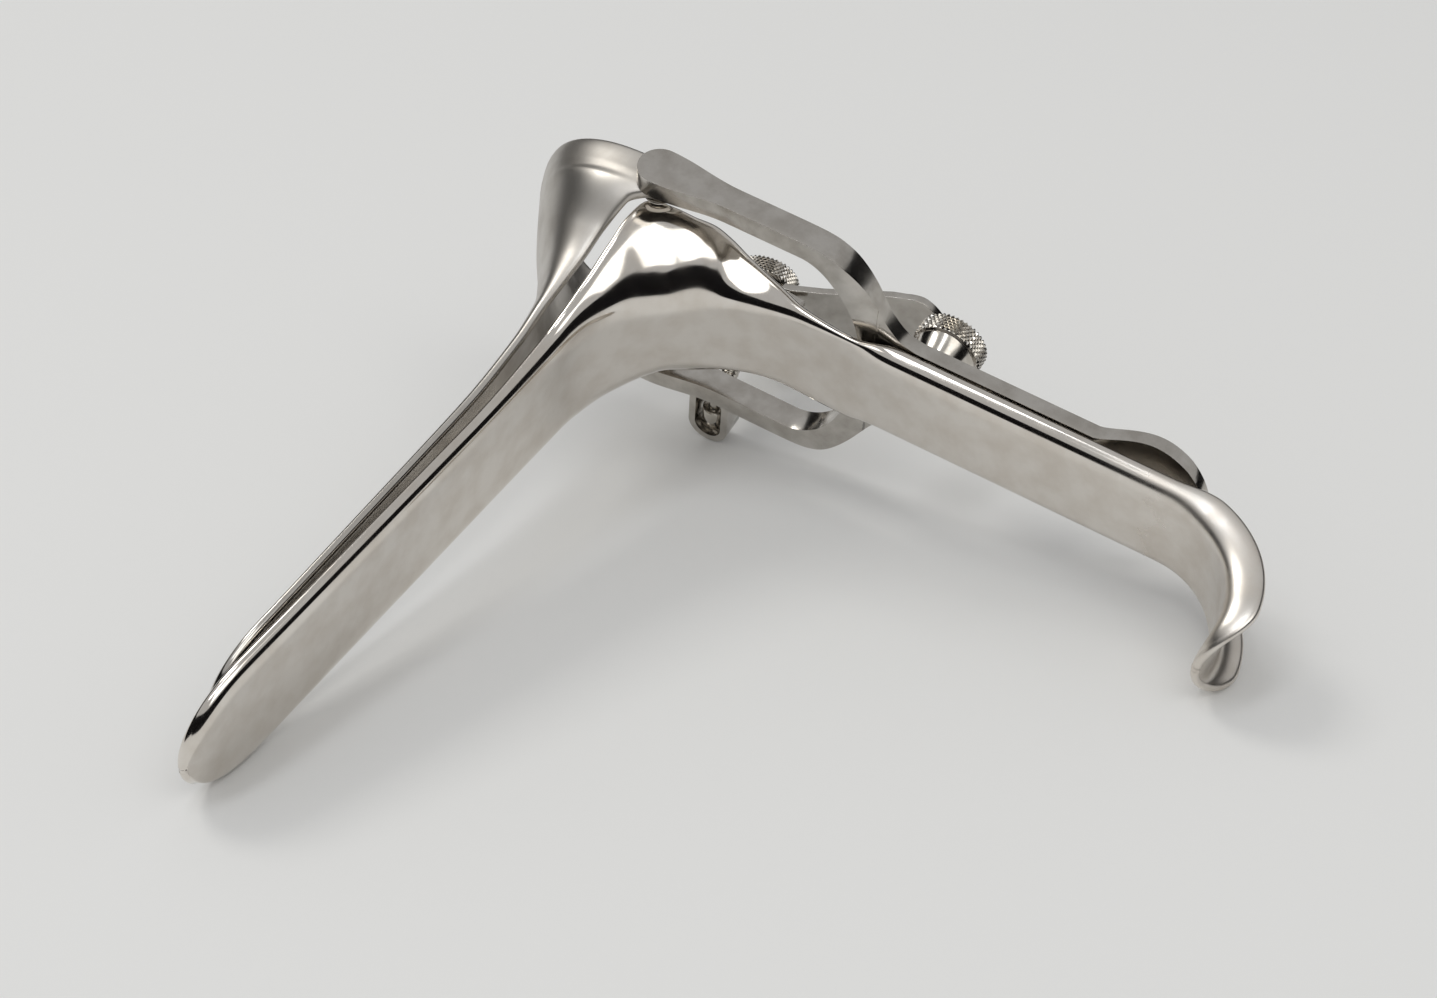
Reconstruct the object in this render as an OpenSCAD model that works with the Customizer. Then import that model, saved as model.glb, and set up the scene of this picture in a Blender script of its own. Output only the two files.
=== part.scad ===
// Bivalve vaginal speculum of polished stainless steel, closed and lying on its side.
// Modelled upright first: x runs towards the examiner, y is up towards the upper blade,
// z is sideways. One turn and shift at the end lays it on a table, as it comes to rest.

/* [Lower blade] */
// Straight length from the tip to the bend
lower_len = 86; // [65:1:110]
// Outer width of both blades
blade_w = 21.9; // [18:0.1:28]
// Depth of the lower trough
lower_wall = 2.7; // [2.3:0.1:4.5]
// Rounded tip, length along the blade
nose_len = 14.5; // [9:0.5:20]
// Sheet thickness of blades and handle
sheet_t = 1.5; // [1.1:0.1:1.9]

/* [Bend] */
// Inner radius between blade and handle
bend_r = 27.7; // [24:0.1:34]
// Angle between blade and handle past square
handle_lean = 5; // [0:1:12]
// Half width across the flared side walls
flare_half = 17; // [15.5:0.1:17.1]
// Height of the flared side walls
flare_h = 13.9; // [10:0.1:14.4]

/* [Handle] */
// Straight length from bend to hook
handle_len = 63; // [57:1:85]
// Width of the handle channel
handle_w = 18.6; // [16:0.1:21]
// Depth of the handle channel
flange_h = 3.5; // [2.8:0.1:5]
// Radius of the hook at the lower end
hook_r = 15.5; // [13:0.5:19]
// Turn of the round part of the hook
hook_turn = 80; // [70:1:90]
// Length of the tongue after the hook
tongue_len = 6.5; // [5:0.5:12]
// Radius of the tongue
tongue_r = 13; // [11:1:60]
// Depth of the channel round the hook
hook_flange = 5.6; // [3.8:0.1:6.2]

/* [Yoke] */
// Half width over the two arms
yoke_half = 24.4; // [23.5:0.1:27]
// Sideways thickness of an arm
arm_t = 3.4; // [2.8:0.1:3.8]
// Depth of an arm, front to back
arm_depth = 4.4; // [3.4:0.1:5]
// Height of the pivots above the end of the bend
pivot_up = 28; // [27:0.1:32]
// Radius of the round arm ends
arm_end_r = 3.65; // [3.3:0.05:4.2]
// Thickness of the slide plate
slide_t = 2.55; // [2:0.05:3]
// Width of the slide plate
slide_w = 18.2; // [16:0.1:20]
// Running gap between handle and slide
slide_gap = 0.3; // [0.2:0.05:0.6]
// Travel of the slide on the handle
slide_travel = 9; // [5:0.5:9]
// Start of the finger tab below the end of the bend
tab_start = 48.9; // [44:0.1:51]
// Length of the curved finger tab
tab_len = 19; // [15:0.5:21]
// Rise of the curved finger tab
tab_rise = 3.1; // [2:0.1:4.5]

/* [Upper blade] */
// Length from tip to pivot line
upper_len = 107.5; // [90:0.5:125]
// Depth of the upper trough
upper_wall = 2.3; // [2.2:0.1:5]
// Gap between the closed rims
rim_gap = 0.5; // [0.3:0.1:1.5]
// Height of the funnel rim above the pivots
funnel_up = 24.9; // [20:0.1:30]
// Reach of the funnel rim behind the pivots
funnel_back = 3.6; // [3.2:0.1:5]
// Gap between each ear and its arm
ear_gap = 0.3; // [0.2:0.05:0.5]

/* [Pivots and lever] */
// Radius of the pivot pins
pin_r = 1.5; // [1.2:0.05:1.8]
// Radius of the pin heads inside
pin_head_r = 2.6; // [2.2:0.1:3]
// Running clearance on pins and threads
fit = 0.05; // [0.02:0.01:0.1]
// Thickness of the thumb lever
lever_t = 1.4; // [1.2:0.1:1.5]
// Width of the thumb lever's arm
lever_w = 7.5; // [6:0.5:9]
// Width of the thumb paddle
paddle_w = 18.6; // [16:0.2:19.4]

/* [Rod and nuts] */
// Radius of the adjusting rod
rod_r = 1.6; // [1.3:0.05:1.9]
// Distance from rod pin to lever plate
rod_reach = 24.5; // [23:0.5:26]
// Distance of the rod below the pivots, along the arm
rod_drop = 12; // [11.5:0.5:13]
// Radius of the knurled nuts
nut_r = 5.9; // [5:0.1:6.5]
// Thickness of the knurled rims
nut_t = 3.5; // [3:0.1:4.5]
// Position of the lock nut below the end of the bend
lock_down = 19.7; // [19:0.1:24]
// Radius of the lock stud
stud_r = 2.3; // [1.8:0.1:2.6]

/* [Hidden] */

// Path of the lower blade and handle: bend end, handle direction and handle back direction
bend_deg = 90 - handle_lean;
bend_arc = bend_r * bend_deg * PI / 180;
D = [sin(handle_lean), -cos(handle_lean)];
N = [cos(handle_lean), sin(handle_lean)];
T2 = [bend_r * sin(bend_deg), bend_r * (cos(bend_deg) - 1)];
T3 = T2 + D * handle_len;
hook_c = T3 - N * hook_r;
hook_arc = hook_r * hook_turn * PI / 180;
hook_n = N * cos(hook_turn) + D * sin(hook_turn);
hook_end = hook_c + hook_n * hook_r;
tongue_c = hook_end - hook_n * tongue_r;
s_handle = bend_arc;
s_hook = bend_arc + handle_len;
s_tongue = s_hook + hook_arc;
s_end = s_tongue + tongue_len;
tongue_nose = 8;

// Station on the path at arc length s: point and normal towards the open side
function on_path(s) =
    s <= 0 ? [[s, 0], [0, 1]] :
    s <= bend_arc ? let(a = s / bend_arc * bend_deg)
        [[bend_r * sin(a), bend_r * (cos(a) - 1)], [sin(a), cos(a)]] :
    s <= s_hook ? [T2 + D * (s - bend_arc), N] :
    s <= s_tongue ? let(a = (s - s_hook) / hook_arc * hook_turn, n = N * cos(a) + D * sin(a))
        [hook_c + n * hook_r, n] :
    let(a = hook_turn + (s - s_tongue) / tongue_r * 180 / PI, n = N * cos(a) + D * sin(a))
        [tongue_c + n * tongue_r, n];

// Smooth curve through rows of [key, values], without overshoot
function row_at(T, s, i = 0) = (i >= len(T) - 2 || s < T[i + 1][0]) ? i : row_at(T, s, i + 1);
function rise(T, i, c) = (T[i + 1][c] - T[i][c]) / (T[i + 1][0] - T[i][0]);
function slope(T, i, c) =
    (i <= 0 || i >= len(T) - 1) ? 0 :
    let(a = rise(T, i - 1, c), b = rise(T, i, c)) (a * b <= 0 ? 0 : 2 * a * b / (a + b));
function curve(T, s, c) =
    let(i = row_at(T, s), h = T[i + 1][0] - T[i][0], u = max(0, min(1, (s - T[i][0]) / h)))
    T[i][c] * (1 + 2 * u) * (1 - u) * (1 - u) + T[i + 1][c] * u * u * (3 - 2 * u)
    + h * slope(T, i, c) * u * (1 - u) * (1 - u) - h * slope(T, i + 1, c) * u * u * (1 - u);
function bez(a, b, c, d, t) =
    a * pow(1 - t, 3) + 3 * b * t * pow(1 - t, 2) + 3 * c * t * t * (1 - t) + d * pow(t, 3);

// Wall of the channel along the path: key, flat half width, rim half width, rim height, wall angle
rim_t = sheet_t / 2;
flat_b = blade_w / 2 - 2.1;
flat_h = handle_w / 2 - 2.1;
function half_w(t) = blade_w / 2 + (flare_half - blade_w / 2) * t;
wall_rows = [
    [-lower_len, flat_b, blade_w / 2, lower_wall - rim_t, 90],
    [-lower_len * 0.25, flat_b, blade_w / 2, lower_wall - rim_t, 90],
    [0, flat_b, half_w(0.14), lower_wall, 82],
    [bend_arc * 0.1, flat_b - 0.05, half_w(0.26), lower_wall + 0.6, 76],
    [bend_arc * 0.24, flat_b - 0.1, half_w(0.46), flare_h * 0.4, 68],
    [bend_arc * 0.35, flat_b - 0.3, half_w(0.75), flare_h * 0.63, 63],
    [bend_arc * 0.43, flat_b - 0.5, half_w(0.93), flare_h * 0.88, 60],
    [bend_arc * 0.485, flat_b - 0.8, half_w(1), flare_h, 58],
    [bend_arc * 0.55, flat_h + 0.8, flare_half - 0.3, flare_h * 0.86, 58],
    [bend_arc * 0.6, flat_h + 0.6, flare_half - 0.8, flare_h * 0.735, 58],
    [bend_arc * 0.65, flat_h + 0.5, flare_half - 1.6, flare_h * 0.67, 58],
    [bend_arc * 0.7, flat_h + 0.4, flare_half - 3.1, flare_h * 0.575, 58],
    [bend_arc * 0.76, flat_h + 0.3, handle_w / 2 + 3, flare_h * 0.44, 59],
    [bend_arc * 0.86, flat_h + 0.1, handle_w / 2 + 1.4, flare_h * 0.27, 60],
    [bend_arc, flat_h, handle_w / 2 + 0.3, 1.7, 62],
    [bend_arc + 9.5, flat_h, handle_w / 2, 0.8, 64],
    [bend_arc + 15.5, flat_h, handle_w / 2, flange_h - rim_t, 90],
    [s_hook, flat_h, handle_w / 2, flange_h - rim_t, 90],
    [s_hook + hook_arc * 0.3, flat_h, handle_w / 2, flange_h + (hook_flange - flange_h) * 0.8 - rim_t, 88],
    [s_hook + hook_arc * 0.7, flat_h, handle_w / 2, hook_flange - rim_t, 86],
    [s_tongue, flat_h, handle_w / 2, hook_flange - 0.3 - rim_t, 86],
    [s_end, flat_h, handle_w / 2, 2.4 - rim_t, 86]];

// Shrink of the width in the two rounded ends, 1 elsewhere
end_cut = 0.13;
blunt = 2.25;
function shrink(q) = q <= 0 ? 1 : max(end_cut, pow(max(0, 1 - pow(q, blunt)), 1 / blunt));
function nose_q(s) = (-lower_len + nose_len - s) / nose_len;
function tongue_q(s) = (s - s_end + tongue_nose) / tongue_nose;
q_top = pow(1 - pow(end_cut, blunt), 1 / blunt);
nose_steps = 9;
stations = concat(
    [for (i = [0 : nose_steps]) -lower_len + nose_len * (1 - q_top * cos(i * 90 / nose_steps))],
    [for (x = [0.6, 0.42, 0.25, 0.17, 0.11, 0.055]) -lower_len * x],
    [for (i = [0 : 19]) bend_arc * i / 19],
    [bend_arc + 5],
    [for (i = [0 : 5]) bend_arc + 9 + i * 1.5],
    [bend_arc + handle_len * 0.5],
    [for (i = [0 : 9]) s_hook + (s_end - tongue_nose - s_hook) * i / 9],
    [for (i = [1 : 7]) s_end - tongue_nose * (1 - q_top * sin(i * 90 / 7))]);

wall_n = 5;
function half_out(wf, zr, hr, a) = [for (i = [0 : wall_n]) let(t = i / wall_n)
    bez([wf, 0], [wf + 0.6 * (zr - wf), 0], [zr - 0.55 * hr * cos(a), hr * (1 - 0.55 * sin(a))], [zr, hr], t)];
function half_in(wf, zr, hr, a, th) =
    let(ze = max(0.2, zr - th * sin(a)), he = hr + th * cos(a), w0 = min(wf - 0.5, ze - 0.4 * (ze - 0.1)))
    [for (i = [0 : wall_n]) let(t = i / wall_n)
        bez([max(0.1, w0), th], [w0 + 0.6 * (ze - w0), th],
            [ze - 0.55 * (he - th) * cos(a), th + (he - th) * (1 - 0.55 * sin(a))], [ze, he], t)];
function flip(P) = [for (i = [len(P) - 1 : -1 : 0]) P[i]];
function mirrored(P) = [for (p = P) [-p[0], p[1]]];
// Rounded rim from point a to point b, bulging by one sheet radius along direction d
function bead(a, b, d) = [for (k = [45, 90, 135])
    (a + b) / 2 + (a - b) / 2 * cos(k) + d * norm(a - b) / 2 * sin(k)];

// The wall leans outward and gets low where an end rounds off
end_deg = 18;
function end_part(k) = let(t = max(0, min(1, (k - end_cut) / (0.9 - end_cut)))) t * t * (3 - 2 * t);
function section_at(s) =
    let(kn = shrink(nose_q(s)), k = kn * shrink(tongue_q(s)), g = end_part(k),
        a = end_deg + (curve(wall_rows, s, 4) - end_deg) * g,
        hr = 0.12 + (curve(wall_rows, s, 3) - 0.12) * g,
        lift = kn >= 1 ? 0 : lower_wall - hr - rim_t * (1 + cos(a)),
        wf = (curve(wall_rows, s, 1) - 0.6 * (1 - g)) * k, zr = curve(wall_rows, s, 2) * k,
        o = half_out(wf, zr, hr, a), n = half_in(wf, zr, hr, a, sheet_t), d = [cos(a), sin(a)],
        bp = bead(o[wall_n], n[wall_n], d))
    [for (p = concat(flip(o), [[0, 0]], mirrored(o), mirrored(bp), mirrored(flip(n)),
        [[0, sheet_t]], n, flip(bp))) [p[0], p[1] + lift]];

function ring_at(s) = let(f = on_path(s), c = f[0], n = f[1])
    [for (p = section_at(s)) [c[0] + n[0] * p[1], c[1] + n[1] * p[1], p[0]]];
lower_rings = [for (s = stations) ring_at(s)];

// Pivot line, and the upper blade's rows: place behind the pivot, top, half width, edge, roundness
pivot_v = 4;
P = T2 - D * pivot_up + N * pivot_v;
ear_half = yoke_half - arm_t - ear_gap;
edge_b = lower_wall + rim_gap;
tip_x = -upper_len;
u_nose = nose_len - 1;
upper_rows = [
    [tip_x, edge_b + upper_wall, blade_w / 2 - 0.6, edge_b, 3.2],
    [tip_x + u_nose, edge_b + upper_wall, blade_w / 2 - 0.5, edge_b + 0.2, 3.2],
    [-75, edge_b + upper_wall + 0.5, blade_w / 2 - 0.4, edge_b + 0.6, 3.1],
    [-56, edge_b + upper_wall + 1.1, blade_w / 2 - 0.3, edge_b + 1, 2.9],
    [-45.5, edge_b + upper_wall + 1.6, blade_w / 2 - 0.3, edge_b + 1.3, 2.8],
    [-32, edge_b + upper_wall + 3, blade_w / 2 + 0.1, edge_b + 2.4, 2.5],
    [-24, P[1] + funnel_up * 0.3, blade_w / 2 + 0.8, edge_b + 3.4, 2.3],
    [-15.3, P[1] + funnel_up * 0.5, blade_w / 2 + 2.2, edge_b + 3.8, 2.15],
    [-9.7, P[1] + funnel_up * 0.68, blade_w / 2 + 4.5, edge_b + 3.9, 2.1],
    [-4.4, P[1] + funnel_up * 0.83, ear_half - 1.7, P[1] + 3.1, 2.15],
    [-2.5, P[1] + funnel_up * 0.88, ear_half - 0.7, P[1] + 0.9, 2.3],
    [-1.2, P[1] + funnel_up * 0.915, ear_half - 0.2, P[1] - 2.6, 2.35],
    [0.2, P[1] + funnel_up * 0.95, ear_half, P[1] - 3.5, 2.4],
    [funnel_back, P[1] + funnel_up, ear_half, P[1] - 3.4, 2.45]];
u_steps = 8;
upper_x = concat(
    [for (i = [0 : u_steps]) tip_x + u_nose * (1 - q_top * cos(i * 90 / u_steps))],
    [-75, -60, -50, -42, -36],
    [for (i = [0 : 11]) -32 + i * 2.3],
    [-5.4, -4.2, -3.2, -2.4, -1.7, -1, -0.2],
    [for (i = [0 : 2]) 0.8 + (funnel_back - 0.8) * i / 2]);
arc_n = 8;
function oval(b, h, p, e) = [for (i = [-arc_n : arc_n]) let(a = i * 90 / arc_n,
    r = pow(pow(abs(sin(a)), p) + pow(abs(cos(a)), p), -1 / p)) [-b * r * sin(a), e + h * r * cos(a)]];
function upper_ring(x) =
    let(k = shrink((tip_x + u_nose - x) / u_nose), dx = 0.2,
        top = curve(upper_rows, x, 1), b = curve(upper_rows, x, 2) * k, e = curve(upper_rows, x, 3),
        p = curve(upper_rows, x, 4), st = (curve(upper_rows, x + dx, 1) - top) / dx,
        sb = (curve(upper_rows, x + dx, 2) - curve(upper_rows, x, 2)) / dx,
        ty = sheet_t * sqrt(1 + st * st), tz = min(sheet_t * sqrt(1 + sb * sb), b - 0.3),
        h = (top - e - rim_t) * (0.45 + 0.55 * k),
        o = oval(b, h, p, e + rim_t), n = oval(b - tz, max(0.4, h - ty), p, e + rim_t),
        m = len(o) - 1,
        far = flip(bead(o[m], n[m], [0, -1])), near = bead(o[0], n[0], [0, -1]))
    [for (q = concat(flip(o), near, n, far)) [P[0] + x, q[1], q[0]]];
upper_rings = [for (x = upper_x) upper_ring(x)];

// Closed skin over rings with the same number of points: outer side, rim, inner side, rim
module skin(R) {
    n = len(R);
    m = len(R[0]);
    side = [for (i = [0 : n - 2], j = [0 : m - 1]) let(k = (j + 1) % m)
        each [[i * m + j, (i + 1) * m + j, (i + 1) * m + k], [i * m + j, (i + 1) * m + k, i * m + k]]];
    c = (m - 6) / 2;
    cap = concat([for (j = [0 : c - 2]) [j, j + 1, 2 * c + 1 - j, 2 * c + 2 - j]],
        [[c - 1, c, c + 1, c + 2, c + 3], [2 * c + 2, 2 * c + 3, 2 * c + 4, 2 * c + 5, 0]]);
    last = [for (f = cap) [for (j = flip(f)) (n - 1) * m + j]];
    polyhedron(points = [for (r = R) each r], faces = concat(side, cap, last), convexity = 10);
}

// Yoke, drawn in the handle's own frame: u runs down the handle, v to its back, z sideways
back = flange_h + slide_gap + slide_t;
front = back - slide_t;
u_tab = tab_start;
u_crotch = 10;
module on_handle() {
    multmatrix([[D[0], N[0], 0, T2[0]], [D[1], N[1], 0, T2[1]], [0, 0, 1, 0], [0, 0, 0, 1]])
        children();
}
// Profile seen from the side: arm, step to the thinner slide, and the finger tab
function tab_v(t) = tab_rise * pow(sin(180 * min(1, t * 1.02)), 1.3) - 0.1 * t * t;
end_a = asin((back - pivot_v) / arm_end_r);
end_b = 360 + asin((back - arm_depth - pivot_v) / arm_end_r);
round_end = [for (i = [0 : 28]) let(a = end_b + (end_a - end_b) * i / 28) [-pivot_up + arm_end_r * cos(a), pivot_v + arm_end_r * sin(a)]];
side_back = concat(round_end, [[u_tab, back]],
    [for (i = [1 : 12]) let(t = i / 12) [u_tab + tab_len * t, back + tab_v(t)]]);
side_front = concat([for (i = [12 : -1 : 1]) let(t = i / 12)
        [u_tab + tab_len * t - 0.35 * sin(180 * t), back - slide_t + tab_v(t) + 0.5 * t]],
    [[u_tab, front]],
    [for (i = [6 : -1 : 0]) let(t = i / 6) [4 + 9 * t, back - arm_depth + (arm_depth - slide_t) * (1 - cos(180 * t)) / 2]]);
// Half outline seen from the front: outer edge down, inner edge of the opening up
arm_in = yoke_half - arm_t;
half_edge = [
    [-pivot_up - arm_end_r - 1, yoke_half], [-1, yoke_half], [1.2, yoke_half - 0.15], [3.2, yoke_half - 0.7], [5.6, yoke_half - 1.9],
    [7.6, yoke_half - 3.7], [9.4, yoke_half - 6], [11, yoke_half - 8.6], [12.6, yoke_half - 11.3], [14.2, slide_w / 2 + 2.1],
    [16, slide_w / 2 + 0.7], [18.5, slide_w / 2]];
inner_edge = [for (i = [0 : 10]) let(a = i * 9) [u_crotch * 0.96 * sin(a) - 2 * cos(a), arm_in * pow(cos(a), 0.75)]];
tab_round = 5;
module yoke_plan() {
    polygon(concat(half_edge,
        [[u_tab + tab_len - tab_round, slide_w / 2]],
        [for (i = [1 : 8]) [u_tab + tab_len - tab_round * (1 - sin(i * 90 / 8)), slide_w / 2 - tab_round * (1 - cos(i * 90 / 8))]],
        [for (i = [8 : -1 : 1]) [u_tab + tab_len - tab_round * (1 - sin(i * 90 / 8)), -slide_w / 2 + tab_round * (1 - cos(i * 90 / 8))]],
        [[u_tab + tab_len - tab_round, -slide_w / 2]],
        [for (i = [len(half_edge) - 1 : -1 : 0]) [half_edge[i][0], -half_edge[i][1]]],
        [[-pivot_up - arm_end_r - 1, -arm_in]],
        [for (i = [0 : 10]) [inner_edge[i][0], -inner_edge[i][1]]],
        [for (i = [9 : -1 : 0]) inner_edge[i]],
        [[-pivot_up - arm_end_r - 1, arm_in]]));
}
slot_w = stud_r + 0.3;
module slot() {
    translate([0, 60, 0]) rotate([90, 0, 0]) linear_extrude(120) polygon(concat(
        [for (i = [0 : 12]) [lock_down + slide_travel + slot_w * sin(i * 15), slot_w * cos(i * 15)]],
        [for (i = [0 : 12]) [lock_down - slot_w * sin(i * 15), -slot_w * cos(i * 15)]]));
}

// Rod geometry: pin on the arm, direction of the rod, and the plate of the lever
Q = T2 - D * (pivot_up - rod_drop) + N * (back - arm_depth / 2);
loop_in = 4.9;
loop_t = 1.2;
loop_deep = 10;
rod_z = -yoke_half - loop_deep / 2;
rod_deg = 17.8;
rod_d = [cos(rod_deg), sin(rod_deg)];
rod_end = rod_reach + lever_t + 0.15 + 1.6 + nut_t + 1;
H = Q + rod_d * (rod_reach + lever_t / 2);
module at(p, z, deg) { translate([p[0], p[1], z]) rotate([0, 0, deg]) children(); }

// Paddle path in side view, starting square to the rod
ear_in = -ear_half + sheet_t;
lever_z = ear_in + 0.3;
path_top = 4.6;
paddle_path = [
    H + [-rod_d[1], rod_d[0]] * path_top, H, H + [1.6, -5.2], H + [3.8, -10.6], H + [6.6, -16],
    H + [9.2, -21.2], H + [10.8, -26.2], H + [11.2, -30]];
function way(i) = let(a = paddle_path[max(0, i - 1)], b = paddle_path[min(len(paddle_path) - 1, i + 1)]) (b - a) / norm(b - a);
function beside(i, w) = paddle_path[i] + [way(i)[1], -way(i)[0]] * w;
paddle_hi = rod_z + 6.4;
paddle_lo = paddle_hi + 3 - paddle_w;
pad_y = H[1] - 25;
pad_r = 6;
function pad_z(y) = y > pad_y ? paddle_lo : paddle_lo + pad_r - sqrt(max(0, pad_r * pad_r - (y - pad_y) * (y - pad_y)));
pad_side = [for (i = [0 : 7]) let(b = beside(i, -lever_t / 2)) [-b[1], b[0]]];

// Laid on the table: three contacts give the table's normal, and the lowest point its height
rim_i = 2 * wall_n + 4;
tip_c = lower_rings[6][rim_i];
hook_c1 = lower_rings[len(lower_rings) - 6][rim_i];
loop_c = [Q[0], Q[1], -yoke_half - loop_deep];
n0 = cross(loop_c - tip_c, hook_c1 - tip_c);
up = (n0[2] < 0 ? -1 : 1) * n0 / norm(n0);
ex0 = [1, 0, 0] - up * up[0];
ex = ex0 / norm(ex0);
ey = cross(up, ex);
function laid(p) = [p * ex, p * ey, p * up];
low_all = [for (r = lower_rings, p = r) laid(p)];
up_all = [for (r = upper_rings, p = r) laid(p)];
pad_pts = [for (i = [0 : 16]) let(y = pad_y + 4 - i * 0.6) laid([lookup(-y, pad_side), y, pad_z(y)])];
top_pt = laid([P[0], P[1], yoke_half]);
shift = -[(min([for (p = low_all) p[0]]) + max([for (p = pad_pts) p[0]])) / 2,
    (min([for (p = low_all) p[1]]) + max([for (p = up_all) p[1]])) / 2,
    min(min([for (p = low_all) p[2]]), laid(loop_c)[2] - 0.8)];
module rest() {
    multmatrix([[ex[0], ex[1], ex[2], shift[0]], [ey[0], ey[1], ey[2], shift[1]],
        [up[0], up[1], up[2], shift[2]], [0, 0, 0, 1]]) children();
}

module lower_blade() {
    color("gainsboro") rest() skin(lower_rings);
}

module lock_stud() {
    color("silver") rest() on_handle() translate([lock_down, sheet_t, 0]) rotate([-90, 0, 0])
        cylinder(r = stud_r, h = back + 9.6 - sheet_t, $fn = 48);
}

module frame_yoke() {
    color("lightgray") rest() difference() {
        on_handle() intersection() {
            translate([0, 60, 0]) rotate([90, 0, 0]) linear_extrude(120) yoke_plan();
            translate([0, 0, -40]) linear_extrude(80) polygon(concat(side_back, side_front));
        }
        on_handle() slot();
        for (m = [0, 1]) mirror([0, 0, m]) translate([P[0], P[1], 0]) cylinder(r = pin_r + 0.01, h = 60, $fn = 48);
        translate([Q[0], Q[1], -60]) cylinder(r = 1.01, h = 60 - arm_in - arm_t / 2, $fn = 36);
    }
}

module upper_blade() {
    color("gainsboro") rest() difference() {
        skin(upper_rings);
        for (m = [0, 1]) mirror([0, 0, m]) translate([P[0], P[1], ear_half - 6]) cylinder(r = pin_r + fit, h = 10, $fn = 48);
    }
}

module pin_body(z_in) {
    translate([P[0], P[1], z_in]) cylinder(r = pin_r, h = yoke_half - z_in, $fn = 48);
}
module pivot_pins() {
    color("silver") rest() {
        pin_body(-ear_in - 0.75);
        translate([P[0], P[1], -ear_in - 1.65]) cylinder(r1 = pin_head_r * 0.72, r2 = pin_head_r, h = 0.9, $fn = 48);
        mirror([0, 0, 1]) pin_body(-lever_z - lever_t);
    }
}

module thumb_lever() {
    color("lightgray") rest() difference() {
        union() {
            intersection() {
                translate([0, 0, -60]) linear_extrude(60) union() {
                    intersection() {
                        translate(P) circle(r = lever_w / 2 + 0.1, $fn = 48);
                        translate(P - [0.8, 8]) square([20, 10.6]);
                    }
                    polygon([P + [0, 2.6], P + [0, -lever_w / 2 - 0.1],
                        H + [1, -lever_w - 1.4], H + [1.4, -lever_w], H + [0.2, -0.6]]);
                }
                translate([0, 60, 0]) rotate([90, 0, 0]) linear_extrude(120) polygon(concat(jog(0), flip(jog(lever_t))));
            }
            intersection() {
                translate([0, 0, -60]) linear_extrude(60) polygon(concat(
                    [for (i = [0 : 7]) beside(i, -lever_t / 2)], [for (i = [7 : -1 : 0]) beside(i, lever_t / 2)]));
                paddle_form();
            }
        }
        translate([P[0], P[1], lever_z - 2]) cylinder(r = pin_r + fit, h = lever_t + 3, $fn = 48);
        at(H, rod_z, rod_deg) rotate([0, 90, 0]) translate([0, 0, -5]) cylinder(r = rod_r + 0.7, h = 10, $fn = 48);
    }
}
// Side of the lever's arm seen from below: flat at the ear, then outward behind the yoke
jog_z = paddle_hi - lever_t - 0.4;
function jog(t) = concat(
    [[P[0] - 6, lever_z + t], [P[0] + 9, lever_z + t]],
    [for (i = [1 : 7]) [P[0] + 9 + i * 1.2, lever_z + t + (jog_z - lever_z) * (1 - cos(i * 180 / 8)) / 2]],
    [[P[0] + 18.6, jog_z + t], [H[0] + 1, jog_z + t]]);
// Outline of the paddle seen along the handle's normal
module paddle_form() {
    translate([0, 0, paddle_lo]) rotate([0, 90, 0]) linear_extrude(120) union() {
        polygon([[-paddle_w, pad_y], [-paddle_w + 3, H[1] - 6], [-paddle_w + 3, H[1] - 4], [0, H[1] - 4], [0, pad_y]]);
        translate([-paddle_w + pad_r, pad_y - pad_r]) square([paddle_w - 2 * pad_r, 12]);
        for (k = [pad_r, paddle_w - pad_r]) translate([-k, pad_y]) circle(r = pad_r, $fn = 48);
        translate([-(rod_z - paddle_lo), H[1]]) circle(r = path_top - 0.2, $fn = 48);
        translate([-(rod_z - paddle_lo) - path_top + 0.2, H[1] - 6]) square([2 * path_top - 0.4, 6]);
    }
}

module rod_loop() {
    color("silver") rest() on_handle() translate([-pivot_up + rod_drop, back - arm_depth, 0]) difference() {
        rotate([-90, 0, 0]) linear_extrude(arm_depth) difference() {
            union() {
                translate([-loop_in / 2 - loop_t, yoke_half]) square([loop_in + 2 * loop_t, loop_deep - 3.5]);
                translate([0, yoke_half + loop_deep - 3.65]) circle(r = loop_in / 2 + loop_t, $fn = 64);
            }
            translate([-loop_in / 2, yoke_half - 0.01]) square([loop_in, loop_deep - 3.6]);
            translate([0, yoke_half + loop_deep - 3.65]) circle(r = loop_in / 2, $fn = 64);
        }
        translate([0, arm_depth / 2, -60]) cylinder(r = 1.01, h = 60, $fn = 36);
    }
}

module rod_pin() {
    color("silver") rest() translate([Q[0], Q[1], -yoke_half - loop_deep]) cylinder(r = 1, h = loop_deep + arm_t / 2, $fn = 36);
}

module adjusting_rod() {
    color("silver") rest() at(Q, rod_z, rod_deg) difference() {
        union() {
            rotate([0, 90, 0]) cylinder(r = rod_r, h = rod_end, $fn = 48);
            translate([0, 0, -rod_r]) cylinder(r = rod_r + 0.35, h = rod_r * 2, $fn = 48);
        }
        translate([0, 0, -10]) cylinder(r = 1 + fit, h = 20, $fn = 36);
    }
}

module thumb_nut() {
    color("silver") rest() at(Q, rod_z, rod_deg) rotate([0, 90, 0])
        translate([0, 0, rod_reach + lever_t + 0.15]) rotate_extrude($fn = 60) polygon([
            [rod_r + fit, 0], [3.7, 0], [4, 1.6], [nut_r - 0.5, 1.6], [nut_r, 2.1],
            [nut_r, 1.1 + nut_t], [nut_r - 0.5, 1.6 + nut_t], [3, 2.3 + nut_t], [rod_r + fit, 2.3 + nut_t]]);
}

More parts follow.
